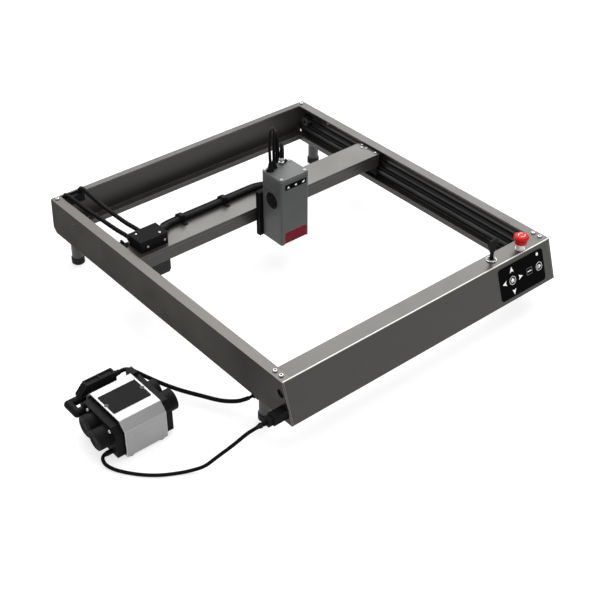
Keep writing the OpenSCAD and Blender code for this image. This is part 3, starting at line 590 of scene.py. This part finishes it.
STRIP_FACE, STRIP_MIDDLE = 6.4, 155.6  # y of the dark strip's face, and z of its middle
oval = [
    (2.0 * math.cos(math.radians(a)), 1.5 * math.sin(math.radians(a))) for a in range(0, 360, 24)
]
mark_shapes = [
    (-4.9, [(-2.4, -1.6), (2.4, -1.6), (0.5, 1.9), (-0.5, 1.9)]),
    (9.8, oval),
    (24.3, [(-2.6, -1.2), (0.4, -1.8), (2.5, 0.2), (2.2, 1.7), (-0.6, 0.9), (-2.4, 0.3)]),
]
for i, (x, shape) in enumerate(mark_shapes, 1):
    plate(
        f"indicator_mark_{i}", shape,
        lambda u, v, w, x=x: R(x + u, STRIP_FACE - w, STRIP_MIDDLE + v),
        0.0, 0.15, mark_white, "laser_module",
    )

# Laser module: fan guard and the lips of the vents over it
GUARD_FACE, GUARD_WIRE = -17.6, 0.45  # x of the guard, and its wire's radius
for i, r in enumerate((3.2, 6.6, 10.0, 13.3), 1):
    ring(
        f"fan_guard_ring_{i}", R(GUARD_FACE, *FAN), ALONG_X, r, GUARD_WIRE, plastic,
        "laser_module",
    )
for i in range(6):
    a = math.radians(30 + 60 * i)
    spoke = [
        R(GUARD_FACE, FAN[0] + q * math.cos(a), FAN[1] + q * math.sin(a)) for q in (3.0, 8.0, 13.7)
    ]
    tube(f"fan_guard_spoke_{i + 1}", spoke, GUARD_WIRE / 1000, plastic, "laser_module", 8)
for i, z in enumerate((146.6, 150.6), 1):
    plate(
        f"vent_lip_{i}", round_rect(17.0, 0.8, 0.39, 3), upright(-18.5, FAN[0], z, way=-1),
        0.0, 0.35, mats["module_grey"], "laser_module",
    )

# Laser module: boots and plug of the leads, and two more plugs on the cap
LEAN = (0, 0.03, 1)  # the leads leave the cap leaning back a little
boot = [
    (0.1, 0.0), (5.6, 0.0), (5.7, 0.8), (5.0, 1.6), (4.6, 3.2), (4.9, 3.7), (4.2, 4.6), (3.9, 6.4),
    (4.2, 6.9), (3.6, 7.8), (3.3, 9.6), (3.6, 10.1), (3.0, 11.0), (2.7, 13.2), (2.35, 13.4),
]
for i, (x, y) in enumerate([(-10, 43), (0, 47)], 1):
    revolve(f"lead_boot_{i}", boot, R(x, y, MODULE_TOP), LEAN, plastic, "laser_module", 32)
plug = [
    (0.1, 0.0), (4.4, 0.0), (4.6, 0.5), (4.6, 3.2), (4.1, 3.7), (3.3, 3.9), (3.3, 5.2), (3.7, 5.5),
    (3.7, 7.6), (3.0, 8.6), (2.35, 9.4),
]
revolve("lead_plug", plug, R(17, 50, MODULE_TOP), LEAN, steel, "laser_module", 32)
for i, (x, y, h) in enumerate([(23.4, 50.2, 4.0), (-13.2, 44.4, 3.4)], 1):
    plate(
        f"module_plug_{i}", round_rect(6.4, 4.4, 0.8), flat(x, y, MODULE_TOP),
        0.0, h, plastic, "laser_module", SOFT_EDGE,
    )
    screw(f"module_plug_pin_{i}", R(x, y, MODULE_TOP + h), ALONG_Z, 1.3, "laser_module")

# Boot where the leads leave the sleeve
join = catmull([(19, 105, 103.1), (23, 102.3, 103.7), (29, 97, 105), (31, 94.5, 106.5)], 5)
last = len(join) - 1
widening = [0.0051 + 0.0009 * (i / last) for i in range(last + 1)]
tube("harness_boot", join, widening, plastic, "x_carriage", 28)

# Clips that hold the sleeve on the beam
clip = [
    (-13.5, -5.0), (-13.5, -3.8), (-6.9, -3.8), (-6.6, 0.0), (-6.2, 4.6), (-4.6, 7.2), (0.0, 8.0),
    (4.2, 7.4), (8.8, 5.2), (11.6, 3.0), (12.6, -0.4), (12.6, -4.0), (11.4, -4.0), (11.4, -0.8),
    (10.6, 0.6), (7.6, 2.3), (2.8, 4.6), (0.0, 4.95), (-2.2, 4.5), (-4.2, 2.8), (-5.1, 0.0),
    (-5.3, -5.0),
]
for i, x in enumerate((-133.0, -52.0), 1):
    plate(f"loom_clip_{i}", clip, upright(x, 110, 102), -3.6, 3.6, plastic, "gantry", FINE_EDGE)
    ring(
        f"loom_clip_screw_{i}", R(x, 99.8, BEAM_SCREW_TOP), ALONG_Z, 1.2, 0.7, bracket, "gantry",
        20, 6,
    )

# Junction box: glands and lid
gland = [(0.1, 0.0), (5.6, 0.0), (5.6, 2.4), (4.9, 3.0), (4.6, 6.2), (3.8, 6.8), (3.6, 7.4)]
wide_gland = [(0.1, 0.0), (6.4, 0.0), (6.4, 1.6), (5.6, 2.2), (5.0, 4.8), (4.6, 5.0)]
for i, (profile, place, axis) in enumerate([
    (gland, R(-206.5, 107, 108.0), ALONG_Y),
    (gland, R(-225.5, 107, 105.0), ALONG_Y),
    (wide_gland, R(-182, 99, 107), ALONG_X),
], 1):
    revolve(f"box_gland_{i}", profile, place, axis, plastic, "gantry", 32)
plate(
    "box_lid", round_rect(49.0, 33.0, 1.2), flat(-206, 91, 116), -0.9, 0.35, bracket, "gantry",
    FINE_EDGE,
)

# Tab on the gantry's left end that trips the limit switch
tab = [(-4.5, -8), (3.0, -8), (3.0, 3.5), (0.5, 3.5), (0.5, 8.5), (-4.5, 8.5)]
plate("limit_tab", tab, flat(-236, 112, 97), 0.0, 1.6, bracket, "gantry", FINE_EDGE)
plate(
    "limit_tab_post", round_rect(3.2, 7.0, 0.6), flat(-236.4, 117, 98), 0.0, 3.4, bracket,
    "gantry", SOFT_EDGE,
)


# Touch panel: printed marks and the lamp
def mark(name, outline, place, material=mark_white, holes=()):
    """A printed mark; place is its x and its distance down the slope."""
    plate(name, outline, on_front(*place), 0.0, PRINT, material, "frame", holes=holes)


arrow = [(0.0, 4.9), (4.0, -3.9), (0.0, -2.1), (-4.0, -3.9)]
for name, place, angle in (
    ("up", (170.7, 16.7), 0), ("left", (153.9, 33.0), 90),
    ("right", (187.4, 33.9), -90), ("down", (171.3, 51.4), 180),
):
    mark(f"mark_{name}", turned(arrow, math.radians(angle)), place)
for name, place in (("home", HOME), ("play", PLAY)):
    mark(f"mark_{name}_ring", circle(6.6), place, holes=[circle(6.0)])
house = [
    (-2.8, -3.1), (-0.8, -3.1), (-0.8, -0.7), (0.8, -0.7), (0.8, -3.1), (2.8, -3.1),
    (2.8, 0.4), (3.9, 0.4), (0.0, 3.9), (-3.9, 0.4), (-2.8, 0.4),
]
mark("mark_house", house, HOME)
mark("mark_play", [(-0.2, 3.4), (-0.2, -3.4), (4.3, 0.0)], PLAY)
for i, x in enumerate((-3.9, -2.0), 1):
    bar = [(x, -2.9), (x + 0.8, -2.9), (x + 0.8, 2.9), (x, 2.9)]
    mark(f"mark_pause_{i}", bar, PLAY)
mark(
    "mark_frame", round_rect(12.0, 10.4, 0.5, 2), OUTLINE, mark_grey,
    holes=[round_rect(11.0, 9.4, 0.4, 2)],
)
mark("mark_frame_bar", round_rect(8.6, 1.4, 0.3, 2), OUTLINE)
lamp_profile = [(2.4, -0.1), (2.4, 0.3), (1.9, 0.55), (0.1, 0.7)]
outward = on_slope(0, 0, 1) - on_slope(0, 0, 0)
revolve("status_lamp", lamp_profile, on_slope(227, 13.6, PANEL), outward, mark_white, "frame", 24)

# Stop button: two turning arrows on the head, and painted shade in the groove round it
STOP_FACE, GROOVE_HEIGHT = 126.4, 118.5
for i in range(2):
    arc = [math.radians(180 * i + 25 + 8 * k) for k in range(15)]
    band = [(5.2 * math.cos(a), 5.2 * math.sin(a)) for a in arc]
    band += [(4.65 * math.cos(a), 4.65 * math.sin(a)) for a in reversed(arc)]
    point = turned([(3.9, 0.0), (5.9, 0.0), (4.9, 1.7)], arc[-1])
    for name, outline in ((f"stop_arrow_{i + 1}", band), (f"stop_arrow_head_{i + 1}", point)):
        plate(name, outline, flat(*STOP, STOP_FACE), 0.0, 0.15, mark_white, "stop_head")
ring("stop_groove", R(*STOP, GROOVE_HEIGHT), ALONG_Z, 9.45, 0.5, painted_shade, "stop_head")

# Painted shade in the sockets of the frame's and the beam's screws
sockets = [(sx * 250, y) for sx in (-1, 1) for y in (FRONT + 11.5, FRONT + 24, REAR - 7)]
for i, (x, y) in enumerate(sockets, 1):
    plate(
        f"screw_socket_{i}", circle(1.75, 24), flat(x, y, SCREW_TOP), 0.0, 0.12, painted_shade, "frame"
    )
for i, (x, y) in enumerate([(239.5, 107.5), (232.5, 100.5), (236.5, 93.5), (237.5, 73.0)], 1):
    plate(
        f"beam_socket_{i}", circle(1.0, 20), flat(x, y, BEAM_SCREW_TOP), 0.0, 0.1, painted_shade,
        "gantry",
    )

# Key lock: a dark inner ring and notches in its rim, in painted shade
LOCK_TOP, LOCK_RIM = TOP + 2.8, TOP + 1.6
plate(
    "lock_inner_ring", circle(5.9), flat(*LOCK, LOCK_TOP), 0.0, 0.1, painted_shade, "frame",
    holes=[circle(4.35)],
)
notch = [(6.1, -9), (7.7, -7), (7.7, 7), (6.1, 9)]  # radius and angle of its corners
for i, a in enumerate((20, 140, 260), 1):
    wedge = [
        (q * math.cos(math.radians(a + d)), q * math.sin(math.radians(a + d))) for q, d in notch
    ]
    plate(f"lock_notch_{i}", wedge, flat(*LOCK, LOCK_RIM), -0.1, 0.12, painted_shade, "frame")

# Frame: the bend between the front panel's top and face, with a painted highlight along its length
HALF_FRONT = 257
for name, place, reach in (
    ("front_bend_top", flat(0, FRONT, TOP), 1.3), ("front_bend_face", on_front(0, 0, 0), -0.9),
):
    strip = [(-HALF_FRONT, 0), (HALF_FRONT, 0), (HALF_FRONT, reach), (-HALF_FRONT, reach)]
    plate(name, strip, place, 0.0, 0.04, bend_highlight, "frame")

# Frame: painted shade in the seams between the side rails and the front and rear panels
SEAM = 0.18  # half the seam's width
for i, (x, y0, y1) in enumerate([
    (-242, FRONT + 0.4, FRONT + 27.6), (242, FRONT + 0.4, FRONT + 27.6),
    (-242, REAR - 2.6, REAR - 0.3), (242, REAR - 10.6, REAR - 0.3),
], 1):
    seam = [(-SEAM, y0), (SEAM, y0), (SEAM, y1), (-SEAM, y1)]
    plate(f"corner_seam_{i}", seam, flat(x, 0, TOP), 0.0, 0.03, painted_shade, "frame")

# Pump: screws of the left head, and beads round its two drums
for i, (y, z) in enumerate([(-170, 47), (-118, 48.5), (-106, 14)], 1):
    screw(f"pump_screw_{i}", R(-448, y, z), (-1, 0, 0), 2.7, "frame")
for i, (x, y, radii) in enumerate([(-464, -158, (13.4, 8.4)), (-460, -128, (14.6, 8.4))], 1):
    for k, r in enumerate(radii, 1):
        ring(f"drum_bead_{i}_{k}", R(x, y, 32), ALONG_X, r, 0.7, plastic, "frame")

# Pump: hose clamps, and the tray and ribs of the air pipe
for i, x in enumerate((-379.0, -376.7), 1):
    ring(f"hose_clamp_{i}", R(x, *PUMP_AXIS), ALONG_X, 3.4, 0.7, bracket, "frame")
openings = [
    [(cx - 9.4, -4), (cx + 9.4, -4), (cx + 9.4, 4), (cx - 9.4, 4)] for cx in (-10.6, 10.6)
]
plate(
    "manifold_tray", round_rect(45, 12.4, 0.8), flat(-407.5, PUMP_AXIS[0], 58), -1.2, 1.6,
    plastic, "frame", FINE_EDGE, holes=openings,
)
rib = [(-6.7, -9.4), (6.7, -9.4), (6.7, 6.4), (-6.7, 6.4)]
for i, x in enumerate((-424.0, -408.0, -392.0), 1):
    plate(f"manifold_rib_{i}", rib, upright(x, *PUMP_AXIS), 0.0, 1.6, plastic, "frame", FINE_EDGE)

# Pump: painted shade in the dark plate's two screw wells
for i, side in enumerate((-1, 1), 1):
    plate(
        f"label_screw_well_{i}", circle(3.2, 28), flat(-402 + side * 27.6, -136, 58.15),
        0.0, 0.25, painted_shade, "frame",
    )

# ---------------------------------------------------------------- surroundings
FLOOR_HALF, FLOOR_Z = 12.0, -0.0003  # just below the table plane, clear of the feet
floor_mat = bpy.data.materials.new("floor")
floor_mat.use_nodes = True
floor_bsdf = floor_mat.node_tree.nodes["Principled BSDF"]
for key, value in (
    ("Base Color", (0.42, 0.42, 0.42, 1)), ("Roughness", 0.85), ("Specular IOR Level", 0.1),
    ("Emission Color", (1, 1, 1, 1)), ("Emission Strength", 0.66),
):
    floor_bsdf.inputs[key].default_value = value
floor_mesh = bpy.data.meshes.new("floor")
corners = [(-1, -1), (1, -1), (1, 1), (-1, 1)]
floor_mesh.from_pydata(
    [(x * FLOOR_HALF, y * FLOOR_HALF, FLOOR_Z) for x, y in corners], [], [(0, 1, 2, 3)]
)
floor_mesh.materials.append(floor_mat)
floor = bpy.data.objects.new("floor", floor_mesh)
bpy.context.scene.collection.objects.link(floor)

# Sky: brighter towards the zenith, bright below the horizon, and white where the camera sees it
world = bpy.data.worlds.new("studio")
bpy.context.scene.world = world
world.use_nodes = True
sky = world.node_tree
sky.nodes.clear()
sky_out = node(sky, "ShaderNodeOutputWorld")
backdrop = node(sky, "ShaderNodeBackground")
direction = node(sky, "ShaderNodeTexCoord")
split = node(sky, "ShaderNodeSeparateXYZ")
ramp = node(sky, "ShaderNodeMapRange", {
    "From Min": 0.0, "From Max": 0.9, "To Min": 0.40, "To Max": 1.35,
})
below = node(sky, "ShaderNodeMath", {1: 0.0}, operation="LESS_THAN")
add_below = node(sky, "ShaderNodeMath", {1: 0.8}, operation="MULTIPLY_ADD")
ray = node(sky, "ShaderNodeLightPath")
add_seen = node(sky, "ShaderNodeMath", {1: 1.3}, operation="MULTIPLY_ADD")
for source, target in (
    (direction.outputs["Generated"], split.inputs["Vector"]),
    (split.outputs["Z"], ramp.inputs["Value"]),
    (split.outputs["Z"], below.inputs[0]),
    (below.outputs["Value"], add_below.inputs[0]),
    (ramp.outputs["Result"], add_below.inputs[2]),
    (ray.outputs["Is Camera Ray"], add_seen.inputs[0]),
    (add_below.outputs["Value"], add_seen.inputs[2]),
    (add_seen.outputs["Value"], backdrop.inputs["Strength"]),
    (backdrop.outputs["Background"], sky_out.inputs["Surface"]),
):
    sky.links.new(source, target)


def softbox(name, place, target, width, height, watts):
    data = bpy.data.lights.new(name, "AREA")
    data.shape = "RECTANGLE"
    data.size, data.size_y, data.energy = width, height, watts
    aim(bpy.data.objects.new(name, data), place, Vector(target) - Vector(place))


softbox("back_box", (2.0, 2.35, 2.9), (0.05, 0.0, 0.05), 4.6, 3.0, 212)
softbox("top_box", (0.7, 0.0, 2.6), (0.15, 0.0, 0.0), 2.2, 2.2, 24)

scene = bpy.context.scene
scene.view_settings.view_transform = "Standard"
scene.view_settings.look = "None"
